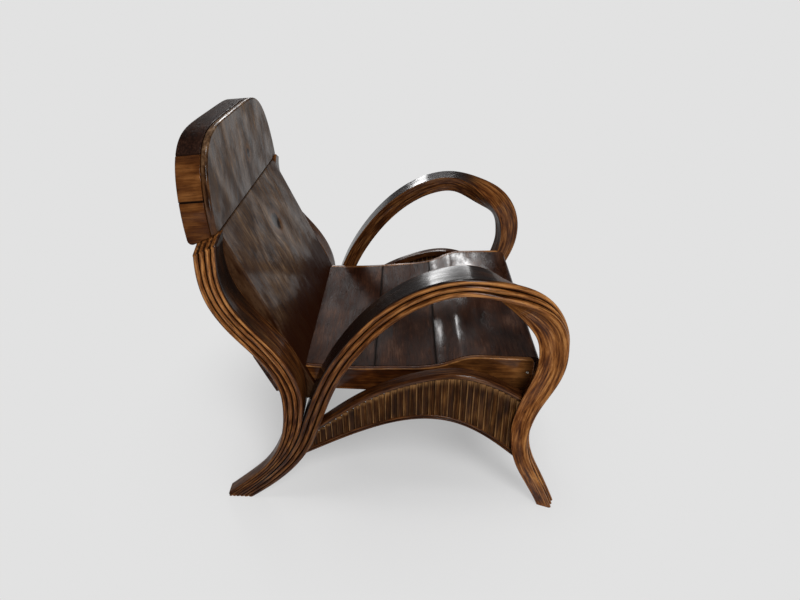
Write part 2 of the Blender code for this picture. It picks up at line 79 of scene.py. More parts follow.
# %% [markdown]
# ## Sums written as sums
# A finish is a small node tree. Adding Math nodes by hand is slow to read, so one class wraps a
# socket and lets Python's own signs add the nodes. Any other node comes from its one method, which
# takes the node's type, its settings and what goes into its sockets.


# %% Socket class
class Tone:
    """One socket in a finish's tree that can be added, multiplied and compared like a number."""

    def __init__(self, tree, socket=None):
        self.tree = tree
        self.socket = socket

    def node(self, kind, settings=None, inputs=None, out=0):
        made = self.tree.nodes.new(kind)
        for key, value in (settings or {}).items():
            if key == "stops":
                ramp = made.color_ramp
                while len(ramp.elements) < len(value):
                    ramp.elements.new(0.5)
                for stop, (place, colour) in zip(ramp.elements, value):
                    stop.position = place
                    stop.color = (*colour, 1.0)
            else:
                setattr(made, key, value)
        for key, value in (inputs or {}).items():
            if isinstance(value, Tone):
                self.tree.links.new(value.socket, made.inputs[key])
            else:
                made.inputs[key].default_value = value
        return Tone(self.tree, made.outputs[out])

    def math(self, operation, *terms):
        return self.node("ShaderNodeMath", {"operation": operation}, dict(enumerate(terms)))

    def __add__(self, other):
        return self.math("ADD", self, other)

    def __radd__(self, other):
        return self.math("ADD", other, self)

    def __sub__(self, other):
        return self.math("SUBTRACT", self, other)

    def __rsub__(self, other):
        return self.math("SUBTRACT", other, self)

    def __mul__(self, other):
        return self.math("MULTIPLY", self, other)

    def __rmul__(self, other):
        return self.math("MULTIPLY", other, self)

    def __truediv__(self, other):
        return self.math("DIVIDE", self, other)

    def __abs__(self):
        return self.math("ABSOLUTE", self)

    def between(self, low, high):
        """0 below low, 1 above high, and a smooth rise from one to the other."""
        settings = {"interpolation_type": "SMOOTHSTEP"}
        return self.node("ShaderNodeMapRange", settings, {0: self, 1: low, 2: high, 3: 0.0, 4: 1.0})

    def mixed(self, first, second):
        """A colour between two, by this value."""
        return self.node("ShaderNodeMix", {"data_type": "RGBA"}, {0: self, 6: first, 7: second}, 2)

    def stretched(self, x, y, z):
        """A vector with each of its axes scaled by its own number."""
        settings = {"operation": "MULTIPLY"}
        return self.node("ShaderNodeVectorMath", settings, {0: self, 1: (x, y, z)})

    def clouds(self, detail=3.0, roughness=0.5):
        """Soft noise read at this vector, from 0 to 1."""
        inputs = {"Vector": self, "Scale": 1.0, "Detail": detail, "Roughness": roughness}
        return self.node("ShaderNodeTexNoise", None, inputs)

    def parts(self):
        """The three numbers of this vector."""
        split = self.node("ShaderNodeSeparateXYZ", None, {0: self})
        return [Tone(self.tree, socket) for socket in split.socket.node.outputs]


def finish_tree(name):
    """A new Principled finish, as its material, its shader and a start for its sums."""
    made = bpy.data.materials.new(name)
    made.use_nodes = True
    return made, made.node_tree.nodes["Principled BSDF"], Tone(made.node_tree)


def feed(shader, **inputs):
    """Sets or links a shader's sockets by their names, written with underscores."""
    for key, value in inputs.items():
        target = shader.inputs[key.replace("_", " ")]
        if isinstance(value, Tone):
            value.tree.links.new(value.socket, target)
        else:
            target.default_value = value


print("socket class ready")

# %% [markdown]
# ## Floor and light
# The chair stands on a plain pale floor under soft light. The main lamp stands high on the near
# side, a small low one beside it draws bright lines along the ribs, one hangs overhead, and three
# on the far side draw the streaks along the arm tops and the step of the seat. Away from the chair
# the floor turns into one flat pale tone, so no horizon shows, and near it keeps a shadow.

# %% Floor, lamps and world
PALE = 0.76
FLOOR_ALBEDO = 0.80
FLOOR_REACH = 120.0
SHADOW_LIFT = 0.45

bm = bmesh.new()
bmesh.ops.create_circle(bm, cap_ends=True, segments=96, radius=FLOOR_REACH)
floor_mesh = bpy.data.meshes.new("studio_floor")
bm.to_mesh(floor_mesh)
bm.free()
studio_floor = bpy.data.objects.new("studio_floor", floor_mesh)
studio_floor.location.z = -0.0005
bpy.context.scene.collection.objects.link(studio_floor)

floor_finish, floor_shader, start = finish_tree("pale_floor")
feed(floor_shader, Base_Color=(FLOOR_ALBEDO, FLOOR_ALBEDO, FLOOR_ALBEDO, 1.0), Roughness=0.9,
     Specular_IOR_Level=0.1)
place = start.node("ShaderNodeTexCoord", out=3)
away = place.node("ShaderNodeVectorMath", {"operation": "LENGTH"}, {0: place}, 1).between(0.20, 0.80)
plain = SHADOW_LIFT + (1.0 - SHADOW_LIFT) * away
glow = start.node("ShaderNodeEmission", None, {"Color": (PALE, PALE, PALE, 1.0), "Strength": 1.0})
rays = start.node("ShaderNodeLightPath").socket.node.outputs
shown = Tone(start.tree, rays["Is Camera Ray"]) + Tone(start.tree, rays["Is Glossy Ray"])
shown = shown + Tone(start.tree, rays["Is Transmission Ray"])
blend = start.node("ShaderNodeMixShader", None, {0: plain * shown, 2: glow})
start.tree.links.new(floor_shader.outputs[0], blend.socket.node.inputs[1])
start.tree.links.new(blend.socket, start.tree.nodes["Material Output"].inputs["Surface"])
floor_mesh.materials.append(floor_finish)


def lamp(name, where, aim, size, watts):
    """A rectangular soft lamp that points at a place."""
    light = bpy.data.lights.new(name, "AREA")
    light.shape = "RECTANGLE"
    light.size, light.size_y = size
    light.energy = watts
    made = bpy.data.objects.new(name, light)
    made.location = where
    made.rotation_mode = "QUATERNION"
    made.rotation_quaternion = (Vector(aim) - Vector(where)).to_track_quat("-Z", "Y")
    bpy.context.scene.collection.objects.link(made)
    return made


lamp("lamp_key", (-4.6, -1.6, 5.2), (0.0, 0.0, 0.3), (2.4, 2.4), 310.0)
lamp("lamp_near_low", (-5.0, -1.6, 1.5), (0.0, 0.0, 0.4), (1.6, 0.8), 24.0)
lamp("lamp_overhead", (-0.4, 0.6, 6.6), (0.0, 0.0, 0.4), (1.8, 1.8), 105.0)
lamp("lamp_far_side", (7.1, 0.55, 3.95), (0.0, 0.0, 0.45), (3.6, 0.7), 120.0)
lamp("lamp_far_low", (7.5, 1.6, 2.35), (0.0, 0.0, 0.6), (1.2, 0.5), 28.0)
lamp("lamp_far_step", (7.5, 2.0, 3.2), (0.0, 0.0, 0.6), (1.2, 0.5), 20.0)

world = bpy.data.worlds.new("studio_air")
bpy.context.scene.world = world
world.use_nodes = True
air = world.node_tree.nodes["Background"]
air.inputs["Color"].default_value = (1.0, 1.0, 1.0, 1.0)
air.inputs["Strength"].default_value = 0.08
bpy.context.scene.view_settings.view_transform = "Standard"

# %% [markdown]
# ## Wood finishes
# Lacquered wood has long fibres, blotches of stain, open pores and a glossy coat. The fibres have to
# follow each bent slat, so every piece carries an attribute named grain: how far a point lies along,
# across and into its own board, in metres. A second attribute tells how dark a point is in a groove or
# joint, partly from dirt and, between ribs and reeds, from painted shade; how much its lacquer is
# worn to a lighter tone, which also paints highlight lines on rib crowns, reed edges, reed tops and
# facing rims; and how dark its stain is. Noise that is stretched along the first number of grain gives
# the fibres, and the same noise drives colour, gloss and bump together.


# %% Wood finish
# Dark tone of the pores and joints, also used as the painted shade in the grooves between ribs and reeds.
PORE_AND_SHADE_TONE = (0.0045, 0.0020, 0.0010, 1.0)
BASE_SHINE = 0.03
COAT_INDEX = 1.6


def far_from(vector, along, across, tall, wide):
    """Distance from a knot, in knot sizes."""
    offset = vector.node("ShaderNodeVectorMath", {"operation": "SUBTRACT"}, {0: vector, 1: (along, across, 0.0)})
    near = offset.stretched(1.0 / tall, 1.0 / wide, 0.0)
    return offset, near.node("ShaderNodeVectorMath", {"operation": "LENGTH"}, {0: near}, 1)


def wood(name, tones, wear_and_highlight, stain, fibre, gloss, bump=0.0004, wave=0.0012, knots=(), straight=False,
         blotchy=1.6, streaky=2.6, swirl=0.004):
    """A lacquered wood: tones from its darkest fibre to its lightest, its tone for wear and painted highlights, and its
    stain.
    """
    made, shader, start = finish_tree(name)
    if straight:
        grain = start.node("ShaderNodeTexCoord", out=3)
    else:
        grain = start.node("ShaderNodeAttribute", {"attribute_name": "grain"}, out=1)
    groove_dirt_and_shade, wear, stained = start.node("ShaderNodeAttribute", {"attribute_name": "rub"}, out=1).parts()
    plain = grain
    for knot in knots:
        offset, far = far_from(plain, *knot)
        push = 1.0 - far.between(0.3, 3.5)
        bend = offset.stretched(0.0, -0.7, 0.0)
        bend = bend.node("ShaderNodeVectorMath", {"operation": "SCALE"}, {0: bend, "Scale": push})
        grain = grain.node("ShaderNodeVectorMath", {"operation": "ADD"}, {0: grain, 1: bend})
    drift = grain.stretched(9.0, 14.0, 14.0).clouds(2.0, 0.5) - 0.5
    drift = drift.node("ShaderNodeCombineXYZ", None, {"Y": drift * swirl})
    grain = grain.node("ShaderNodeVectorMath", {"operation": "ADD"}, {0: grain, 1: drift})
    broad_fibre, fine_fibre = fibre
    broad = grain.stretched(4.0, broad_fibre, broad_fibre).clouds(4.0, 0.6) - 0.5
    fine = grain.stretched(18.0, fine_fibre, fine_fibre).clouds(5.0, 0.62) - 0.5
    blotch = grain.stretched(13.0, 24.0, 24.0).clouds(3.0, 0.55) - 0.5
    pores = grain.stretched(55.0, 2.1 * fine_fibre, 2.1 * fine_fibre).clouds(2.0, 0.5).between(0.60, 0.72)
    level = 0.50 + broad * 0.8 + fine * streaky + blotch * blotchy
    colour = level.node("ShaderNodeValToRGB", {"stops": tones}, {0: level})
    # Lighter towards the worn tone: real wear, and painted highlight lines on crowns, reed edges, reed tops and facing
    # rims.
    wear_with_painted_light = (wear * (0.60 + fine * streaky + blotch * blotchy)).between(0.0, 1.0)
    colour = wear_with_painted_light.mixed(colour, (*wear_and_highlight, 1.0))
    colour = (pores * 0.6).mixed(colour, PORE_AND_SHADE_TONE)
    smoky = (stained * (1.0 + 0.9 * blotch + 0.7 * broad)).between(0.0, 1.0)
    colour = smoky.mixed(colour, (*stain, 1.0))
    # Grooves between ribs and reeds are darkened partly as dirt and partly as painted shade; joints and hairlines are
    # darkened the same way.
    colour = (groove_dirt_and_shade * (0.95 + 0.5 * blotch)).between(0.0, 1.0).mixed(colour, PORE_AND_SHADE_TONE)
    for knot in knots:
        _, far = far_from(plain, *knot)
        far = far + 1.1 * fine
        ring = far.between(0.7, 1.0) * (1.0 - far.between(1.0, 1.7))
        colour = (ring * 0.5).mixed(colour, (*wear_and_highlight, 1.0))
        colour = (1.0 - far.between(0.55, 1.0)).mixed(colour, (0.012, 0.005, 0.003, 1.0))
    rough, coat, coat_rough, stain_coat = gloss
    swell = grain.stretched(10.0, 22.0, 22.0).clouds(1.0, 0.4)
    waves = swell.node("ShaderNodeBump", None, {"Height": swell, "Distance": wave, "Strength": 1.0})
    height = fine * 0.9 + broad * 0.5 - pores * 0.5
    normal = height.node("ShaderNodeBump", None, {"Height": height, "Distance": bump, "Normal": waves})
    patch_fibre = 0.6 * broad_fibre
    patch = grain.stretched(8.0, patch_fibre, patch_fibre).clouds(4.0, 0.62).between(0.38, 0.66)
    shine = coat * (0.12 + 0.88 * patch) + stain_coat * stained.between(0.5, 1.0)
    feed(shader, Base_Color=colour, Roughness=rough + 0.55 * fine + 0.35 * broad + 0.15 * groove_dirt_and_shade,
         Normal=normal, Coat_Weight=shine.math("MAXIMUM", shine, 0.0) * (1.0 - groove_dirt_and_shade), Specular_IOR_Level=BASE_SHINE)
    feed(shader, Coat_Roughness=coat_rough, Coat_IOR=COAT_INDEX)
    print("finish:", name)
    return made


AMBER_TONES = ((0.0, (0.016, 0.0035, 0.001)), (0.35, (0.076, 0.021, 0.004)), (0.62, (0.200, 0.067, 0.015)),
               (1.0, (0.440, 0.195, 0.058)))
BROWN_TONES = ((0.0, (0.010, 0.0025, 0.0005)), (0.4, (0.044, 0.0115, 0.0025)), (0.65, (0.098, 0.030, 0.006)),
               (1.0, (0.250, 0.095, 0.025)))
SEAT_TONES = ((0.0, (0.006, 0.0018, 0.0008)), (0.42, (0.022, 0.0075, 0.0038)), (0.7, (0.038, 0.0145, 0.0075)),
              (1.0, (0.085, 0.040, 0.024)))
BACK_TONES = ((0.0, (0.013, 0.0040, 0.001)), (0.42, (0.062, 0.030, 0.013)), (0.7, (0.120, 0.066, 0.032)),
              (1.0, (0.220, 0.132, 0.070)))
REED_TONES = ((0.0, (0.006, 0.0018, 0.0004)), (0.45, (0.027, 0.0085, 0.0015)), (0.7, (0.060, 0.022, 0.005)),
              (1.0, (0.150, 0.066, 0.018)))
GOLD_WEAR_AND_HIGHLIGHT = (0.460, 0.210, 0.065)
SMOKE = (0.0085, 0.0045, 0.0035)
RED_SMOKE = (0.022, 0.0055, 0.0018)

slat_wood = wood("amber_slat_wood", AMBER_TONES, GOLD_WEAR_AND_HIGHLIGHT, SMOKE, (90.0, 240.0), (0.40, 0.30, 0.15, 0.32),
                 wave=0.0018, blotchy=0.7, streaky=2.2)
rail_wood = wood("brown_rail_wood", BROWN_TONES, GOLD_WEAR_AND_HIGHLIGHT, SMOKE, (110.0, 300.0), (0.40, 0.40, 0.10, 0.20),
                 blotchy=0.8, streaky=2.0)
edge_wood = wood("brown_edge_wood", BROWN_TONES, GOLD_WEAR_AND_HIGHLIGHT, RED_SMOKE, (60.0, 240.0), (0.42, 0.35, 0.12, 0.0),
                 streaky=0.7)
seat_wood = wood("dark_seat_wood", SEAT_TONES, (0.085, 0.040, 0.022), SMOKE, (40.0, 230.0), (0.45, 0.04, 0.24, 0.0),
                 wave=0.0020, streaky=1.4, swirl=0.020)
nose_wood = wood("glossy_seat_wood", SEAT_TONES, (0.085, 0.040, 0.022), SMOKE, (40.0, 230.0), (0.40, 0.80, 0.10, 0.0),
                 wave=0.0020, streaky=1.4, swirl=0.020)
crown_wood = wood("dark_crown_wood", SEAT_TONES, (0.060, 0.020, 0.008), SMOKE, (60.0, 260.0), (0.50, 0.06, 0.08, 0.0))
reed_wood = wood("split_reed_wood", REED_TONES, (0.270, 0.135, 0.050), SMOKE, (160.0, 420.0), (0.45, 0.10, 0.14, 0.0),
                 streaky=1.6)

# %% [markdown]
# ## One way to make a piece
# Each finished mesh goes through the same last steps: outward normals, smooth shading with sharp
# corners kept and broad faces left flat, and its finish. It rides on the one body of the chair, and the
# solid it stands for is hidden.


# %% Piece helpers
CREASE = math.radians(42.0)


def piece(name, bm, finish, node):
    """Turns a bmesh into a piece of the chair that stands for a solid of the frame."""
    bmesh.ops.recalc_face_normals(bm, faces=bm.faces[:])
    mesh = bpy.data.meshes.new(name)
    bm.to_mesh(mesh)
    bm.free()
    mesh.shade_smooth()
    mesh.set_sharp_from_angle(angle=CREASE)
    mesh.materials.append(finish)
    made = bpy.data.objects.new(name, mesh)
    bpy.context.scene.collection.objects.link(made)
    made.modifiers.new("flat_faces_stay_flat", "WEIGHTED_NORMAL").keep_sharp = True
    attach(made, "root")
    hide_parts(node)
    return made


def new_bmesh():
    """A bmesh with the two attributes that the wood finishes read."""
    bm = bmesh.new()
    return bm, bm.verts.layers.float_vector.new("grain"), bm.verts.layers.float_vector.new("rub")


def new_points(grown):
    """The points that an extrusion has made."""
    return [g for g in grown["geom"] if isinstance(g, bmesh.types.BMVert)]


print("piece helpers ready")

# %% [markdown]
# ## Lines of the bent slats
# A steamed slat springs into a fair curve between a few points, and a natural cubic curve does the
# same. The points below are read along the chair's own edges: down the rear post, over the arm to
# the front foot, and along the arched rails. Widths, depths and the twist of the front bend are
# then worked out at stations along each line.

# %% Curves
GAP = 0.0003
HALF_WIDTH = 0.345
SPLAY = math.tan(math.radians(2.0))
CURVE_STEPS = 40


def lengths(curve):
    """Distance along a line at each of its points."""
    return np.concatenate(([0.0], np.cumsum(np.linalg.norm(np.diff(curve, axis=0), axis=1))))


def spline(points, count, at=None):
    """A natural cubic curve through points of any number of columns, cut at count even places."""
    knots = np.array(points, dtype=float)
    at = lengths(knots) if at is None else at
    step = np.diff(at)
    last = len(knots) - 1
    system = np.eye(last + 1)
    right = np.zeros_like(knots)
    for i in range(1, last):
        system[i, i - 1:i + 2] = step[i - 1], 2.0 * (step[i - 1] + step[i]), step[i]
        right[i] = 6.0 * ((knots[i + 1] - knots[i]) / step[i] - (knots[i] - knots[i - 1]) / step[i - 1])
    bend = np.linalg.solve(system, right)
    fine = np.linspace(0.0, at[-1], CURVE_STEPS * count)
    k = np.clip(np.searchsorted(at, fine, side="right") - 1, 0, last - 1)
    u = ((fine - at[k]) / step[k])[:, None]
    h2 = (step[k] ** 2)[:, None] / 6.0
    curve = (1 - u) * knots[k] + u * knots[k + 1]
    curve += h2 * (((1 - u) ** 3 - (1 - u)) * bend[k] + (u ** 3 - u) * bend[k + 1])
    run = lengths(curve[:, :2])
    even = np.linspace(0.0, run[-1], count)
    return np.stack([np.interp(even, run, column) for column in curve.T], axis=1)


def headings(curve):
    """Unit directions along a line."""
    way = np.gradient(curve, axis=0)
    return way / np.linalg.norm(way, axis=1)[:, None]


def upward(curve):
    """Unit directions square to a line that runs from the rear to the front, on its upper side."""
    way = headings(curve)
    return np.stack([way[:, 1], -way[:, 0]], axis=1)


def ease(t):
    """Smooth step from 0 to 1."""
    t = np.clip(t, 0.0, 1.0)
    return t * t * (3.0 - 2.0 * t)


def side_place(hand, inset, y, z):
    """A point of a side frame, inset from its outer plane."""
    return Vector((hand * (HALF_WIDTH - SPLAY * y - inset), y + MIDDLE_Y, z))


SIDES = (("right", -1), ("left", 1))
print("curve helpers ready")

# %% Stations of the posts
JOINT_Y, JOINT_Z = 0.372, 0.675
BACK_LEAN = math.radians(23.6)
POST_EDGE = ((0.358, 0.700), (0.3675, 0.640), (0.363, 0.585), (0.343, 0.532), (0.268, 0.429),
             (0.226, 0.318), (0.237, 0.222), (0.291, 0.1158), (0.4063, 0.000))
POST_SLATS, POST_STATIONS = 4, 28
POST_WIDTH, POST_WIDTH_TOP, POST_WIDTH_FOOT = 0.068, 0.048, 0.032
POST_DEPTH, POST_DEPTH_FOOT = 0.047, 0.024
POST_NARROW_FROM, POST_THIN_FROM, POST_THIN_BY = 0.550, 0.300, 0.070
REAR_FOOT_END = 0.432

post_line = spline(POST_EDGE, POST_STATIONS)
post_rear = -upward(post_line)
post_high = post_line[:, 1]
thinning = ease((POST_THIN_FROM - post_high) / (POST_THIN_FROM - POST_THIN_BY))
post_depth = POST_DEPTH + (POST_DEPTH_FOOT - POST_DEPTH) * thinning
post_lean = ease((post_high - POST_NARROW_FROM) / (JOINT_Z - POST_NARROW_FROM)) * (POST_WIDTH - POST_WIDTH_TOP)
post_width = POST_WIDTH - post_lean + (POST_WIDTH_FOOT - POST_WIDTH) * thinning
post_middle = post_line + post_rear * (post_depth / 2.0)[:, None]
post_inset = post_lean + post_width / 2.0
post_rows = np.column_stack([post_middle, post_inset, 0.0 * post_width, post_width, post_depth])
print("post length:", round(float(lengths(post_line)[-1]), 3))

# %% Stations of the arms
ARM_LEAVES_POST = 0.250
ARM_EDGE = ((0.179, 0.372), (0.132, 0.448), (0.010, 0.569), (-0.120, 0.614), (-0.213, 0.598),
            (-0.280, 0.565), (-0.333, 0.488), (-0.335, 0.385), (-0.295, 0.280), (-0.286, 0.185),
            (-0.333, 0.067), (-0.362, 0.000))
ARM_SLATS, ARM_STATIONS = 3, 40
ARM_WIDTHS = (0.032, 0.066, 0.066, 0.058, 0.036, 0.030)
ARM_DEPTHS = (0.020, 0.040, 0.040, 0.040, 0.037, 0.034)
ARM_TWIST, LEG_TWIST, TWIST_DONE = math.radians(-74.0), math.radians(-70.0), 0.80
SEAT_UNDER = 0.283
LEG_WAIST_ABOVE = 0.150

tail = post_line[::-1] - post_rear[::-1] * GAP
tail = tail[tail[:, 1] < ARM_LEAVES_POST]
swing = spline((tail[-3], tail[-1], *ARM_EDGE), ARM_STATIONS)
passed = np.linalg.norm(tail[-1] - tail[-3]) + lengths(swing)[1] / 2.0
arm_line = np.concatenate((tail, swing[lengths(swing) > passed]))
run = lengths(arm_line)
crest = run[int(np.argmax(arm_line[:, 1]))]
front = run[int(np.argmin(np.where(arm_line[:, 1] > SEAT_UNDER, arm_line[:, 0], 1.0)))]
upper_leg = (run > front) & (arm_line[:, 1] > LEG_WAIST_ABOVE)
waist = run[int(np.argmax(np.where(upper_leg, arm_line[:, 0], -1.0)))]
marks = (0.0, run[len(tail) - 1], crest, front, waist, run[-1])
arm_width = np.interp(run, marks, ARM_WIDTHS)
arm_depth = np.interp(run, marks, ARM_DEPTHS)
arm_twist = ARM_TWIST * ease((run - crest) / (TWIST_DONE * (front - crest)))
arm_twist += (LEG_TWIST - ARM_TWIST) * ease((run - front) / (waist - front))
arm_round = arm_depth / ARM_SLATS / 2.0
lying, standing = np.abs(np.cos(arm_twist)), np.abs(np.sin(arm_twist))
half_high = standing * (arm_width / 2.0 - arm_round) + lying * (arm_depth / 2.0 - arm_round) + arm_round
half_wide = lying * (arm_width / 2.0 - arm_round) + standing * (arm_depth / 2.0 - arm_round) + arm_round
arm_middle = arm_line - upward(arm_line) * half_high[:, None]
arm_rows = np.column_stack([arm_middle, half_wide, arm_twist, arm_width, arm_depth])
print("arm length:", round(float(run[-1]), 3), "crest at:", round(float(crest), 3))

# %% [markdown]
# ## Sweeping a slat
# A bent slat is one strip whose outer edge is planed half-round and whose inner edge is left almost
# square, so a stack of them is ribbed outside and flush inside. A circle is cut in two halves that
# are pulled apart to the slat's width, and the resulting face is extruded from station to station.
# An extrusion keeps the section's own numbers on its points, so the attributes come for nothing.
# Ends run past the floor or the headrest, are cut off with a plane and rounded by small insets.

# %% Slat sweep
SECTION_SIDES = 20
SQUARE_EDGE = 1.4
OVERRUN = 0.060
SHAKE_PER_METRE = 14.0
INNER_STAIN = 0.52


def refined(rows, count, extra):
    """More stations between the given ones, with one extra at each end."""
    rows = spline(rows, count, lengths(rows[:, :2]))
    ways = headings(rows[:, :2])
    first, last = rows[0].copy(), rows[-1].copy()
    first[:2] -= ways[0] * extra
    last[:2] += ways[-1] * extra
    return np.concatenate(([first], rows, [last]))


def wear_with_painted_light(side, lift, open_face, stain, wear_and_highlight, shade):
    """Groove darkness from dirt and painted shade, wear with a painted highlight line on the crown, and stain of a
    point on a slat's section.
    """
    far = abs(lift)
    if side < 0.0:
        # Painted shade and dirt darken the groove between two ribs.
        groove_dirt_and_shade = 0.0 if open_face else 0.9 * float(ease((far - 0.5) / 0.5))
        # The light line along each rib's crown is partly wear and partly a painted highlight.
        crown = max(0.25 * open_face, 1.0 - 1.7 * far)
        return groove_dirt_and_shade, wear_and_highlight * crown, max(shade, stain * open_face * float(ease((far - 0.3) / 0.5)))
    corner = float(ease((far - 0.6) / 0.3))
    hairline = 0.0 if open_face else 0.4 * float(ease((far - 0.8) / 0.2))
    inner = INNER_STAIN * (1.0 - corner * open_face)
    return hairline, 0.0, max(inner, shade, stain * open_face * corner)


def sweep(hand, rows, layer, layers, outward, tones, shake, seed):
    """One slat of a stack; tones along it are the stain of its outward and inward face, wear and shade."""
    bm, grain, rub = new_bmesh()
    section = bm.verts.layers.float_vector.new("section")
    bmesh.ops.create_circle(bm, cap_ends=True, segments=SECTION_SIDES, radius=1.0,
                            matrix=Matrix.Rotation(math.pi / SECTION_SIDES, 4, "Z"))
    moving, lid = bm.verts[:], bm.faces[:]
    for vert in moving:
        vert[section] = vert.co
    outs = outward * upward(rows[:, :2])
    along = lengths(rows[:, :2])
    for k, (y, z, inset, twist, width, depth) in enumerate(rows):
        if k:
            grown = bmesh.ops.extrude_face_region(bm, geom=lid)
            if k > 1:
                bmesh.ops.delete(bm, geom=[face for face in lid if face.is_valid], context="FACES_ONLY")
            moving = new_points(grown)
            lid = [g for g in grown["geom"] if isinstance(g, bmesh.types.BMFace)]
        thick = depth / layers
        radius = thick / 2.0 - GAP / 2.0
        middle = (2 * layer + 1 - layers) * thick / 2.0
        reach = width / 2.0 - radius
        for vert in moving:
            side, lift, _ = vert[section]
            open_face = layer == layers - 1 if lift > 0.0 else layer == 0
            vert[rub] = wear_with_painted_light(side, lift, open_face, tones[0 if lift > 0.0 else 1][k], tones[2][k], tones[3][k])
            bump = shake * noise.noise(Vector((along[k] * SHAKE_PER_METRE, 5.0 * layer, lift + seed)))
            if side > 0.0:
                side, lift = min(1.0, SQUARE_EDGE * side), max(-1.0, min(1.0, SQUARE_EDGE * lift))
            a = math.copysign(reach, side) + (radius + bump) * side
            b = middle + radius * lift
            across = a * math.cos(twist) - b * math.sin(twist)
            out = a * math.sin(twist) + b * math.cos(twist)
            vert.co = side_place(hand, inset + across, y + out * outs[k][0], z + out * outs[k][1])
            vert[grain] = (along[k] + seed, a, b + seed)
    bm.verts.layers.float_vector.remove(section)
    return bm


ROUND_STEPS = np.radians((0.0, 30.0, 60.0, 90.0))
END_RUB = (0.0, 0.3, 0.2)


def cut(bm, point, normal, rounding=0.0):
    """Removes what lies beyond a plane, closes the cut and rounds its rim."""
    point, normal = Vector(point), Vector(normal).normalized()
    bmesh.ops.bisect_plane(bm, geom=bm.verts[:] + bm.edges[:] + bm.faces[:],
                           plane_co=point - normal * rounding, plane_no=normal, clear_outer=True)
    lids = bmesh.ops.holes_fill(bm, edges=[e for e in bm.edges if e.is_boundary], sides=0)["faces"]
    bmesh.ops.recalc_face_normals(bm, faces=bm.faces[:])
    for low, high in zip(ROUND_STEPS, ROUND_STEPS[1:]):
        if rounding:
            bmesh.ops.inset_region(bm, faces=lids, thickness=rounding * (math.cos(low) - math.cos(high)),
                                   depth=rounding * (math.sin(high) - math.sin(low)), use_even_offset=False)
    rub = bm.verts.layers.float_vector.get("rub")
    for vert in {v for face in lids if rub and face.is_valid for v in face.verts}:
        vert[rub] = END_RUB


print("sweep ready")

# %% [markdown]
# ## Rear posts
# Each rear post is four slats laid one behind another. They run in a slow S from under the headrest
# to the floor. The frontmost one was stained almost black on its broad front face, the others show
# only their amber edges, and all four slope off at the top, outside the headrest.

# %% Rear posts
POST_FINE = 120
POST_TOP_ROUND, FOOT_ROUND, SHOULDER = 0.0040, 0.0015, 0.36
HEAD_HALF, HEAD_HEIGHT = 0.285, 0.182
joint_up = Vector((0.0, math.sin(BACK_LEAN), math.cos(BACK_LEAN)))
joint = Vector((0.0, JOINT_Y + MIDDLE_Y, JOINT_Z)) - joint_up * GAP
fine_post = refined(post_rows, POST_FINE, OVERRUN)
post_up = fine_post[:, 1]
post_tones = (np.full(len(fine_post), 0.45), 0.55 + 0.30 * ease((post_up - 0.40) / 0.15),
              0.15 + 0.75 * ease((post_up - 0.15) / 0.40), 0.50 - 0.42 * ease((post_up - 0.05) / 0.45))
for side, hand in SIDES:
    for layer in range(POST_SLATS):
        bm = sweep(hand, fine_post, layer, POST_SLATS, -1.0, post_tones, 0.0010, layer + 7.3 * hand)
        cut(bm, joint, joint_up)
        cut(bm, joint + Vector((hand * HEAD_HALF, 0.0, 0.0)), Vector((hand * SHOULDER, 0.0, 0.0)) + joint_up, POST_TOP_ROUND)
        cut(bm, (0.0, REAR_FOOT_END + MIDDLE_Y, 0.0), (0.0, 1.0, 0.0), FOOT_ROUND)
        cut(bm, (0.0, 0.0, 0.0), (0.0, 0.0, -1.0))
        piece(f"post_strip_{layer + 1}_{side}", bm, slat_wood, f"post_slat_{layer + 1}_{side}")
print("post stations:", len(fine_post))

# %% [markdown]
# ## Arm hoops
# Three slats leave the rear foot, rise over the arm and turn down into the front leg. In the front
# bend they twist, so that the ribbed edges face forward and the smooth underside of the arm becomes
# the smooth outer face of the leg. The top of the arm is stained dark, and the stain runs out where
# the arm turns down.

# %% Arm hoops
ARM_FINE = 190
STAIN_LEFT = 0.35
fine_arm = refined(arm_rows, ARM_FINE, OVERRUN)
arm_run = lengths(fine_arm[:, :2])
past_crest = arm_run - arm_run[int(np.argmax(fine_arm[:, 1]))]
arm_tones = (1.0 - (1.0 - STAIN_LEFT) * ease((past_crest - 0.01) / 0.10), np.zeros(len(fine_arm)),
             0.25 + 0.95 * ease((past_crest + 0.35) / 0.35), 0.50 - 0.45 * ease((past_crest + 0.55) / 0.50))
for side, hand in SIDES:
    for layer in range(ARM_SLATS):
        bm = sweep(hand, fine_arm, layer, ARM_SLATS, 1.0, arm_tones, 0.0010, 20.0 + layer + 5.1 * hand)
        cut(bm, (0.0, 0.0, 0.0), (0.0, 0.0, -1.0))
        piece(f"arm_strip_{layer + 1}_{side}", bm, slat_wood, f"arm_slat_{layer + 1}_{side}")
print("arm stations:", len(fine_arm))

# %% [markdown]
# ## Apron rails
# Between the legs, a little inside the outer plane, an arched rail carries the upper ends of the
# reeds and two thin strands close the lower edge. They are swept like the slats, and their ends run
# into the legs, as a coped joint does.

# %% Apron rails
RAIL_INSET, RAIL_WIDTH = 0.020, 0.026
TOP_RAIL_EDGE = ((0.196, 0.224), (0.080, 0.313), (-0.030, 0.361), (-0.122, 0.374), (-0.200, 0.351), (-0.262, 0.314))
LOW_RAIL_EDGE = ((0.226, 0.150), (0.093, 0.222), (-0.012, 0.257), (-0.088, 0.258), (-0.168, 0.226), (-0.256, 0.156))
TOP_RAIL_DEPTH, LOW_RAIL_DEPTH = 0.015, 0.0125
LOW_RAIL_SLATS = 2
RAIL_STATIONS, RAIL_FINE = 15, 60
RAIL_ENDS = 0.022


def rail_rows(edge, depth):
    """Close stations of an arched rail given by its upper edge, running on into the legs."""
    line = spline(edge, RAIL_STATIONS)
    middle = line - upward(line) * depth / 2.0
    same = np.ones(len(line))
    inset = RAIL_INSET + RAIL_WIDTH / 2.0
    rows = np.column_stack([middle, same * inset, same * 0.0, same * RAIL_WIDTH, same * depth])
    return refined(rows, RAIL_FINE, RAIL_ENDS)


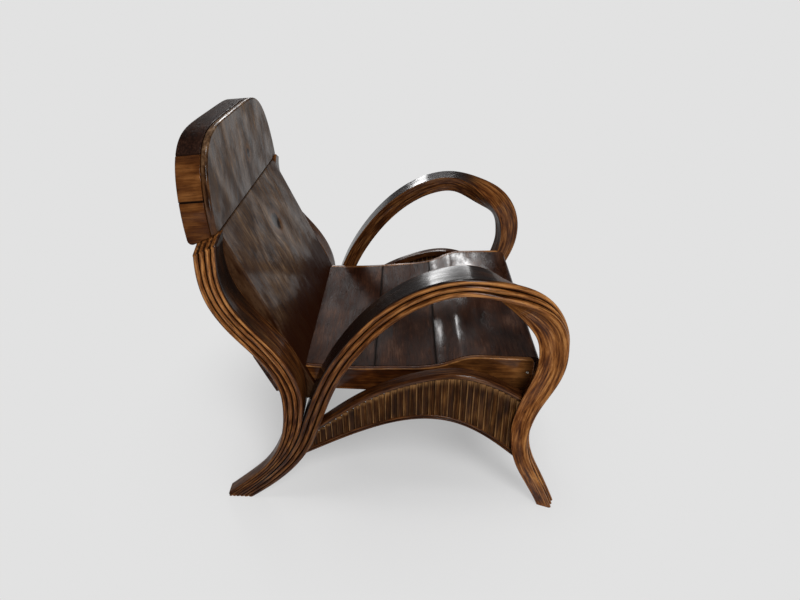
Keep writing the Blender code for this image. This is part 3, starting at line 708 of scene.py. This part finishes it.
arch_rows, strand_rows = rail_rows(TOP_RAIL_EDGE, TOP_RAIL_DEPTH), rail_rows(LOW_RAIL_EDGE, LOW_RAIL_DEPTH)
rail_same = np.ones(len(arch_rows))
rail_tones = (0.45 * rail_same, 0.0 * rail_same, 0.35 * rail_same, 0.42 * rail_same)
for side, hand in SIDES:
    bm = sweep(hand, arch_rows, 0, 1, 1.0, rail_tones, 0.0006, 40.0 + hand)
    piece(f"apron_arch_{side}", bm, rail_wood, f"apron_top_rail_{side}")
    for layer in range(LOW_RAIL_SLATS):
        bm = sweep(hand, strand_rows, layer, LOW_RAIL_SLATS, 1.0, rail_tones, 0.0005, 50.0 + layer + hand)
        piece(f"apron_strand_{layer + 1}_{side}", bm, rail_wood, f"apron_low_rail_{layer + 1}_{side}")
print("rail stations:", len(arch_rows))

# %% [markdown]
# ## Split reeds
# The apron is filled with a row of split reeds, round side out. Each one is a short cylinder,
# squeezed to a flat oval, that runs from the lower strands to the arch. Their lengths follow the
# two curves, and small seeded differences in width, lean and tone keep the row from looking stamped.

# %% Split reeds
REED_COUNT = 35
REED_FORE, REED_REAR = -0.258, 0.226
REED_CROWN, REED_ROUND = 0.021, 0.0032
REED_SIDES, REED_CUTS = 16, 5
LINE_ENDS = 0.040
draw = np.random.default_rng(11)


def edge_line(edge, offset):
    """A line parallel to a rail's upper edge, carried on past both ends."""
    line = spline(edge, RAIL_STATIONS)
    ways = headings(line)
    line = np.concatenate(([line[0] - ways[0] * LINE_ENDS], line, [line[-1] + ways[-1] * LINE_ENDS]))
    return line + upward(line) * offset


def height_at(line, y):
    """Height of a line at a depth."""
    return float(np.interp(-y, -line[:, 0], line[:, 1]))


reed_tops = edge_line(TOP_RAIL_EDGE, -TOP_RAIL_DEPTH + 0.002)
reed_feet = edge_line(LOW_RAIL_EDGE, -0.002)
reed_step = (REED_REAR - REED_FORE) / REED_COUNT
for side, hand in SIDES:
    bm, grain, rub = new_bmesh()
    for k in range(REED_COUNT):
        y = REED_FORE + (k + 0.5) * reed_step
        bottom, top = height_at(reed_feet, y), height_at(reed_tops, y)
        wide = reed_step * (0.52 + 0.02 * draw.random())
        tint, lean = draw.random(), 0.0016 * (draw.random() - 0.5)
        bmesh.ops.create_cone(bm, cap_ends=True, segments=REED_SIDES, radius1=1.0, radius2=1.0, depth=1.0)
        upright = [e for e in bm.edges if not e.verts[0][grain].length and abs(e.verts[0].co.z - e.verts[1].co.z) > 0.5]
        bmesh.ops.subdivide_edges(bm, edges=upright, cuts=REED_CUTS, use_grid_fill=True)
        for vert in [v for v in bm.verts if not v[grain].length]:
            x, q, up = vert.co
            high = bottom + (up + 0.5) * (top - bottom)
            vert[grain] = (0.1 * k + high, x * wide + k, q * 0.005 + 10.0 * hand)
            # Painted highlight: a light line down one edge of each reed and a light top end. Painted shade darkens the
            # sides where two reeds meet.
            line = max(0.0, 1.0 - abs(x - 0.71) / 0.3) * (0.6 + 0.8 * tint)
            vert[rub] = (0.8 * float(ease((abs(x) - 0.85) / 0.15)), max(line, float(up > 0.42)), 0.25 * tint)
            swell = 1.0 + 0.15 * noise.noise(Vector((high * 40.0, 3.1 * k, hand)))
            inset = REED_CROWN + REED_ROUND * (1.0 - q * swell)
            vert.co = side_place(hand, inset, y + x * wide + lean * up, high)
    piece(f"apron_reed_row_{side}", bm, reed_wood, f"apron_reeds_{side}")
print("reeds a side:", REED_COUNT, "step in mm:", round(1000 * reed_step, 1))

# %% [markdown]
# ## The seat
# Three boards lie across the chair. Their top is dished behind, climbs a short slope and runs level
# to a rounded nose. The side outline of a board is one face, which is extruded across the chair,
# eased at its edges and cut into strips so that its lacquer can be a little uneven, as it is when
# brushed by hand. A brown facing closes each end.

# %% Seat outline
RAIL_CLEAR, SEAT_TAPER, FACING_THICK = 0.027, 0.0535, 0.012
SEAT_FRONT_Y, SEAT_NOSE, SEAT_FRONT_ROUND = -0.284, 0.013, 0.012
SEAT_REAR_Z, SEAT_FRONT_Z = 0.3455, 0.385
SEAT_TOP = ((0.100, 0.3425), (0.020, 0.347), (-0.072, 0.357), (-0.100, 0.367), (-0.133, 0.381), (-0.185, 0.3855))
SEAT_JOINTS = (0.070, -0.070)
SEAT_STEP, NOSE_TURNS = 0.006, 6


def seat_half(y):
    """Half width of the seat at a depth."""
    return HALF_WIDTH - RAIL_INSET - RAIL_WIDTH - RAIL_CLEAR - SEAT_TAPER * y


def seat_rear(z):
    """Depth of the seat's rear end at a height, just in front of the leaning back."""
    return JOINT_Y + (z - JOINT_Z) * math.tan(BACK_LEAN) - GAP / math.cos(BACK_LEAN)


seat_curve = spline(((seat_rear(SEAT_REAR_Z), SEAT_REAR_Z), *SEAT_TOP, (SEAT_FRONT_Y, SEAT_FRONT_Z)), 200)


def seat_profile(rear, fore, nose):
    """Side outline of a stretch of the seat; None stands for the seat's own end."""
    behind = seat_curve[0, 0] if rear is None else rear
    ahead = SEAT_FRONT_Y + SEAT_FRONT_ROUND - nose if fore is None else fore
    depths = np.linspace(behind, ahead, 2 + int((behind - ahead) / SEAT_STEP))
    outline = [(y, float(np.interp(-y, -seat_curve[:, 0], seat_curve[:, 1]))) for y in depths]
    crown = outline[-1][1] - SEAT_FRONT_ROUND
    if fore is None:
        for turn in np.linspace(math.pi / 2, 0.0, NOSE_TURNS)[1:]:
            outline.append((ahead - SEAT_FRONT_ROUND * math.cos(turn), crown + SEAT_FRONT_ROUND * math.sin(turn)))
    outline.append((outline[-1][0], SEAT_UNDER))
    outline.append((seat_rear(SEAT_UNDER) if rear is None else rear, SEAT_UNDER))
    return outline


def outline_face(bm, points):
    """One face with the given rim: a filled circle whose points are moved to their places."""
    bmesh.ops.create_circle(bm, cap_ends=True, segments=len(points), radius=1.0)
    for vert, point in zip(bm.verts, points):
        vert.co = point
    return bm.faces[:]


def profile_block(outline, ends):
    """A block whose side outline runs from one end to the other; ends give x for a depth y."""
    bm, grain, rub = new_bmesh()
    face = outline_face(bm, [(ends[0](y), y + MIDDLE_Y, z) for y, z in outline])
    for vert in new_points(bmesh.ops.extrude_face_region(bm, geom=face)):
        vert.co.x = ends[1](vert.co.y - MIDDLE_Y)
    bmesh.ops.recalc_face_normals(bm, faces=bm.faces[:])
    return bm, grain, rub


def ease_edges(bm, width, segments=3, angle=35.0, only=None):
    """Rounds the edges that turn more sharply than an angle."""
    sharp = [e for e in bm.edges if e.is_manifold and e.calc_face_angle(0.0) > math.radians(angle)]
    bmesh.ops.bevel(bm, geom=[e for e in sharp if only is None or only(e)], offset=width, offset_type="OFFSET",
                    affect="EDGES", segments=segments, profile=0.5, material=-1, clamp_overlap=True)


print("seat curve points:", len(seat_curve))

# %% Seat boards and facings
BOARD_STRIPS = 26
UNEVEN = 0.0007
JOINT_SHOWS = 0.0008
rears = (None, *[y - GAP for y in SEAT_JOINTS])
fores = (*[y + GAP for y in SEAT_JOINTS], None)
for order, (word, rear, fore) in enumerate(zip(("rear", "middle", "front"), rears, fores)):
    inner = [lambda y, s=s: s * (seat_half(y) - FACING_THICK - GAP) for s in (-1, 1)]
    bm, grain, rub = profile_block(seat_profile(rear, fore, SEAT_NOSE), inner)
    ease_edges(bm, 0.0004, 2)
    across = [e for e in bm.edges if abs(e.verts[0].co.x - e.verts[1].co.x) > 0.2]
    bmesh.ops.subdivide_edges(bm, edges=across, cuts=BOARD_STRIPS, use_grid_fill=True)
    for vert in bm.verts:
        x, y, z = vert.co
        near_joint = min(abs(y - MIDDLE_Y - at) for at in SEAT_JOINTS) < JOINT_SHOWS
        vert[grain] = (x + 3.0 * order, y, z)
        vert[rub] = (0.9 if near_joint else 0.0, 0.0, 0.0)
        if z > SEAT_UNDER + 0.02:
            vert.co.z += UNEVEN * noise.noise(Vector((x * 9.0, y * 16.0, 1.0)))
    finish = nose_wood if fore is None else seat_wood
    piece(f"seat_plank_{word}", bm, finish, f"seat_board_{word}")

for side, hand in SIDES:
    faces = [lambda y, t=t: hand * (seat_half(y) - t) for t in (FACING_THICK, 0.0)]
    bm, grain, rub = profile_block(seat_profile(None, None, 0.0), faces)
    ease_edges(bm, 0.0028, 4)
    bm.normal_update()
    for vert in bm.verts:
        vert[grain] = (vert.co.y, vert.co.z, vert.co.x + 4.0 * hand)
        # Painted highlight: a light line along the rounded top rim of the facing.
        painted_highlight_rim = vert.normal.z > 0.3 and abs(vert.normal.x) > 0.3
        vert[rub] = (0.0, 0.8 if painted_highlight_rim else 0.35 * float(ease((-0.06 - vert.co.y) / 0.12)), 0.0)
    piece(f"seat_side_{side}", bm, edge_wood, f"seat_facing_{side}")
print("seat half widths, rear and front:", round(seat_half(0.2), 3), round(seat_half(SEAT_FRONT_Y), 3))

# %% [markdown]
# ## The back
# The lower back is one leaning board with upright grain and a sunken knot. A grid gives its face
# enough points to dent, the grid is extruded to the board's thickness, and its rim is eased. Its
# side edges were left brown.

# %% Lower back board
BACK_BOARD_THICK, BACK_BOARD_LENGTH = 0.042, 0.440
BACK_KNOT = (-0.110, 0.045, 0.024, 0.028)


def board_frame(lean):
    """Axes of a leaning board at the joint line: x across, y to the rear, z up the board."""
    return Matrix.Translation((0.0, JOINT_Y + MIDDLE_Y, JOINT_Z)) @ Matrix.Rotation(-lean, 4, "X")


back_frame = board_frame(BACK_LEAN)


def between_posts(up, rear):
    """Half the clear width between the rear posts at a place on the leaning back."""
    spot = back_frame @ Vector((0.0, rear, up))
    return HALF_WIDTH - SPLAY * (spot.y - MIDDLE_Y) - POST_WIDTH - GAP


back_wood = wood("dark_back_wood", BACK_TONES, (0.120, 0.048, 0.014), RED_SMOKE, (22.0, 110.0),
                 (0.42, 0.50, 0.13, -0.5), wave=0.0026, knots=(BACK_KNOT,), streaky=2.0, swirl=0.030)
bm, grain, rub = new_bmesh()
bmesh.ops.create_grid(bm, x_segments=110, y_segments=90, size=1.0)
rear_points = set(new_points(bmesh.ops.extrude_face_region(bm, geom=bm.faces[:])))
for vert in bm.verts:
    up = -BACK_BOARD_LENGTH * (1.0 - vert.co.y) / 2.0 - GAP
    behind = BACK_BOARD_THICK if vert in rear_points else 0.0
    vert.co = (vert.co.x * between_posts(up, BACK_BOARD_THICK), behind, up)
bmesh.ops.recalc_face_normals(bm, faces=bm.faces[:])
ease_edges(bm, 0.003, 3, 60.0)
knot_up, knot_x, knot_tall, knot_wide = BACK_KNOT
for vert in bm.verts:
    x, behind, up = vert.co
    on_side = behind > 0.0015 and abs(x) > between_posts(up, BACK_BOARD_THICK) - 0.002
    vert[grain] = (up, x, behind)
    low_down = float(ease((-0.16 - up) / 0.14))
    near_post = 0.5 * float(ease((abs(x) - 0.10) / 0.14))
    vert[rub] = (0.0, 0.35 if on_side else 0.2 * low_down, 0.55 if on_side else max(0.9 * low_down, near_post))
    if behind < 0.002:
        dent = math.exp(-(((x - knot_x) / knot_wide) ** 2 + ((up - knot_up) / knot_tall) ** 2))
        vert.co.y += 0.004 * dent + 0.0009 * noise.noise(Vector((x * 11.0, up * 5.0, 2.0)))
    vert.co = back_frame @ vert.co
piece("back_plank", bm, back_wood, "back_board")
print("back board between posts:", round(2 * between_posts(0.0, 0.0), 3))

# %% [markdown]
# ## The headrest
# The headrest stands almost upright: a dark face board with an arched outline, and three blocks
# behind it whose ends show on the side. Each is its outline extruded to the rear. The lowest block
# is well rounded behind, where it sits on the posts, and a dark groove shows above it.

# %% Headrest
HEAD_LEAN = math.radians(4.3)
HEAD_FORWARD = 0.0038
HEAD_SIDE_POWER, HEAD_TOP_POWER = 5.4, 1.86
HEAD_FACE_THICK, HEAD_CORE_THICK = 0.014, 0.049
HEAD_SPLITS = (0.066, 0.145)
HEAD_SLOT, HEAD_TUCK = 0.0022, 0.014
HEAD_POINTS = 26
HEAD_KNOT = (0.075, 0.030, 0.016, 0.015)
head_slide = Vector((0.0, -HEAD_FORWARD, HEAD_FORWARD * math.tan(BACK_LEAN)))
head_frame = Matrix.Translation(head_slide) @ board_frame(HEAD_LEAN)
head_wood = wood("dark_head_wood", BACK_TONES, (0.130, 0.048, 0.014), RED_SMOKE, (22.0, 110.0),
                 (0.42, 0.50, 0.13, -0.5), wave=0.0026, knots=(HEAD_KNOT,), streaky=2.0, swirl=0.030)


def head_outline(low, high):
    """Outline of the headrest between two heights, closer spaced where it turns over."""
    turn = np.linspace(math.asin(low / HEAD_HEIGHT), math.asin(high / HEAD_HEIGHT), HEAD_POINTS)
    heights = np.minimum(HEAD_HEIGHT * np.sin(turn), HEAD_HEIGHT)
    half = HEAD_HALF * (1.0 - (heights / HEAD_HEIGHT) ** HEAD_TOP_POWER) ** (1.0 / HEAD_SIDE_POWER)
    one_side = list(zip(half, heights))
    return one_side + [(-x, h) for x, h in one_side[::-1] if x > 0.0]


def head_block(low, high, fore, thick, rounding, tuck=0.0):
    """A headrest board in its own frame: its outline extruded to the rear, its edges eased."""
    bm, grain, rub = new_bmesh()
    face = outline_face(bm, [(x, fore, h) for x, h in head_outline(low, high)])
    behind = new_points(bmesh.ops.extrude_face_region(bm, geom=face))
    bmesh.ops.translate(bm, verts=behind, vec=(0.0, thick, 0.0))
    for vert in bm.verts:
        if vert.co.z < 1e-6:
            vert.co.z -= vert.co.y * math.tan(BACK_LEAN - HEAD_LEAN)
    bmesh.ops.recalc_face_normals(bm, faces=bm.faces[:])
    if tuck:
        rear = fore + thick - 1e-5
        ease_edges(bm, tuck, 6, 35.0, lambda e: all(v.co.y > rear and v.co.z < 0.0 for v in e.verts))
    ease_edges(bm, rounding, 4)
    return bm, grain, rub


bm, grain, rub = head_block(0.0, HEAD_HEIGHT, 0.0, HEAD_FACE_THICK, 0.0045)
for vert in bm.verts:
    x, y, z = vert.co
    vert[grain] = (z, x, y)
    rim = 0.0 if y < 1e-4 else 0.7 * float(1.0 - ease((z - 0.09) / 0.06))
    vert[rub] = (0.0, rim, 0.5 * float(ease((abs(x) - 0.10) / 0.14) * ease((0.10 - z) / 0.08)))
    vert.co = head_frame @ vert.co
piece("headrest_front", bm, head_wood, "headrest_face")

core = HEAD_FACE_THICK + GAP
for word, low, high, finish, slot, rounding, tuck, wear, stain in (
        ("low", 0.0, HEAD_SPLITS[0] - GAP, edge_wood, "brown_edge", HEAD_SLOT, HEAD_TUCK, 0.1, 0.35),
        ("middle", HEAD_SPLITS[0], HEAD_SPLITS[1] - GAP, edge_wood, "brown_edge", 0.0012, 0.0, 0.2, 0.3),
        ("top", HEAD_SPLITS[1], HEAD_HEIGHT, crown_wood, "dark_board", 0.0035, 0.0, 0.1, 0.5)):
    bm, grain, rub = head_block(low, high, core, HEAD_CORE_THICK, rounding, tuck)
    bm.normal_update()
    for vert in bm.verts:
        along, into = (vert.co.y, vert.co.x) if abs(vert.normal.x) > 0.7 else (vert.co.x, vert.co.y)
        vert[grain] = (along, vert.co.z, into)
        slot_side = abs(vert.co.z - HEAD_SPLITS[0]) < HEAD_SLOT
        vert[rub] = (0.9 if slot_side else 0.0, wear, stain)
        vert.co = head_frame @ vert.co
    piece(f"headrest_block_{word}", bm, finish, f"headrest_core_{word}")
print("headrest height:", HEAD_HEIGHT)

# %% [markdown]
# ## Rails behind and below
# Plain bars tie the frame together behind the back and under the seat. The solids already have
# their shape, so they stay and only get a finish, whose grain reads their own coordinates because
# these bars run straight across the chair.

# %% Bars
tie_wood = wood("brown_tie_wood", BROWN_TONES, GOLD_WEAR_AND_HIGHLIGHT, SMOKE, (90.0, 420.0), (0.45, 0.4, 0.2, 0.0), straight=True)
for node in ("rear_rail", "back_batten", "front_rail"):
    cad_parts[node].material_slots[0].material = tie_wood
print("bars finished")

# %% [markdown]
# ## Nail heads
# Bright nail heads finish the facings. Each is a low dome: a sphere cut in half, pressed flat and
# turned to the facing. Their metal is worn, so small spots are duller than the rest.

# %% Nails
NAIL_SHAPE = (0.0034, 0.0034, 0.0018)
nail_finish, nail_shader, start = finish_tree("worn_nail")
spot = start.node("ShaderNodeTexCoord", out=3).stretched(900.0, 900.0, 900.0).clouds(3.0, 0.6)
feed(nail_shader, Base_Color=spot.mixed((0.62, 0.58, 0.52, 1.0), (0.30, 0.24, 0.18, 1.0)), Metallic=1.0,
     Roughness=0.22 + 0.3 * spot)
nails = sorted(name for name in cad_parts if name.startswith("seat_nail"))
for name in nails:
    low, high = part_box(name)
    middle = (low + high) / 2.0
    hand = math.copysign(1.0, middle.x)
    bm = bmesh.new()
    bmesh.ops.create_uvsphere(bm, u_segments=20, v_segments=12, radius=1.0)
    cut(bm, (0.0, 0.0, 0.1), (0.0, 0.0, -1.0))
    out = Vector((1.0, hand * SEAT_TAPER, 0.0)).normalized() * hand
    turn = out.to_track_quat("Z", "Y").to_matrix().to_4x4()
    spread = Matrix.Translation(middle - out * 0.0008) @ turn @ Matrix.Diagonal((*NAIL_SHAPE, 1.0))
    bmesh.ops.transform(bm, matrix=spread, verts=bm.verts[:])
    piece(name.replace("seat_nail", "nail_head"), bm, nail_finish, name)
print("nail heads:", len(nails))
